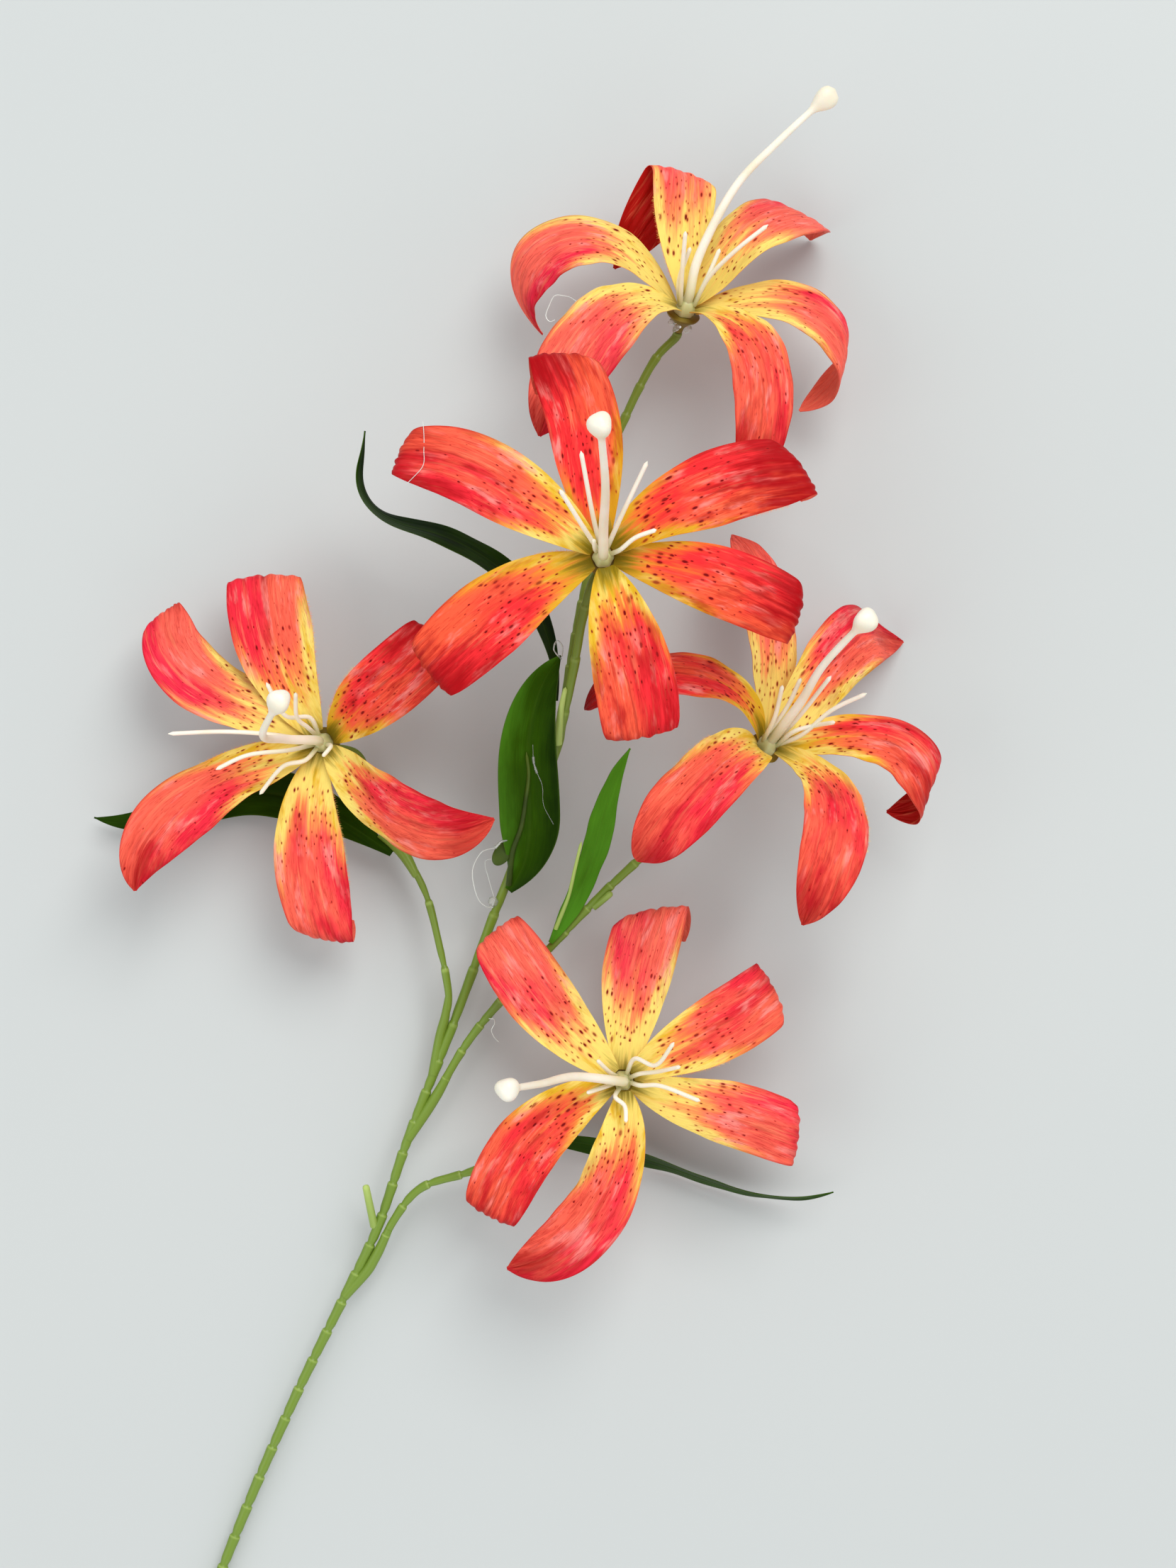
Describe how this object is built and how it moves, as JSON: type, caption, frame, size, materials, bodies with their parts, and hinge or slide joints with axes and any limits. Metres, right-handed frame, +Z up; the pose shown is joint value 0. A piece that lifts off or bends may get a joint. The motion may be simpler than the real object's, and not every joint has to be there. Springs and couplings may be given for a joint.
{
  "type": "lily spray",
  "caption": "Artificial lily spray lying flat: open red, orange and yellow cloth heads with white stamens and long pistils on a branching jointed plastic stem with leaves.",
  "frame": {"origin": "middle of the spray's outer box, on the surface it lies on", "axes": "+Z up from the surface, +Y along the spray from the cut end toward the top head, +X to the right seen from above"},
  "size_m": [0.3416, 0.7437, 0.1846],
  "materials": {
    "petal_cloth": "printed satin cloth, yellow throat to red tip",
    "leaf_cloth": "glossy coated dark green cloth",
    "cup_plastic": "satin olive green",
    "stem_plastic": "satin light green",
    "stamen_plastic": "satin warm white"
  },
  "bodies": {
    "root": {"flower1_petal_left": "petal_cloth", "flower1_petal_top": "petal_cloth", "flower1_petal_upper_right": "petal_cloth", "flower1_petal_right": "petal_cloth", "flower1_petal_lower_right": "petal_cloth", "flower1_petal_lower_left": "petal_cloth", "flower1_receptacle": "cup_plastic", "flower1_stamens": "stamen_plastic", "flower1_pistil": "stamen_plastic", "flower2_petal_upper_left": "petal_cloth", "flower2_petal_top": "petal_cloth", "flower2_petal_upper_right": "petal_cloth", "flower2_petal_right": "petal_cloth", "flower2_petal_bottom": "petal_cloth", "flower2_petal_lower_left": "petal_cloth", "flower2_receptacle": "cup_plastic", "flower2_stamens": "stamen_plastic", "flower2_pistil": "stamen_plastic", "flower3_petal_upper_left": "petal_cloth", "flower3_petal_top": "petal_cloth", "flower3_petal_upper_right": "petal_cloth", "flower3_petal_lower_right": "petal_cloth", "flower3_petal_bottom": "petal_cloth", "flower3_petal_lower_left": "petal_cloth", "flower3_receptacle": "cup_plastic", "flower3_stamens": "stamen_plastic", "flower3_pistil": "stamen_plastic", "flower4_petal_left": "petal_cloth", "flower4_petal_top": "petal_cloth", "flower4_petal_upper_right": "petal_cloth", "flower4_petal_right": "petal_cloth", "flower4_petal_bottom": "petal_cloth", "flower4_petal_lower_left": "petal_cloth", "flower4_receptacle": "cup_plastic", "flower4_stamens": "stamen_plastic", "flower4_pistil": "stamen_plastic", "flower5_petal_right": "petal_cloth", "flower5_petal_upper_right": "petal_cloth", "flower5_petal_top": "petal_cloth", "flower5_petal_upper_left": "petal_cloth", "flower5_petal_lower_left": "petal_cloth", "flower5_petal_bottom": "petal_cloth", "flower5_receptacle": "cup_plastic", "flower5_stamens": "stamen_plastic", "flower5_pistil": "stamen_plastic", "stem_main": "stem_plastic", "stem_flower1": "stem_plastic", "stem_flower3": "stem_plastic", "stem_flower4": "stem_plastic", "stem_flower5": "stem_plastic", "leaf_a": "leaf_cloth", "leaf_b": "leaf_cloth", "leaf_c": "leaf_cloth", "leaf_d": "leaf_cloth", "leaf_e": "leaf_cloth"}
  },
  "joints": []
}
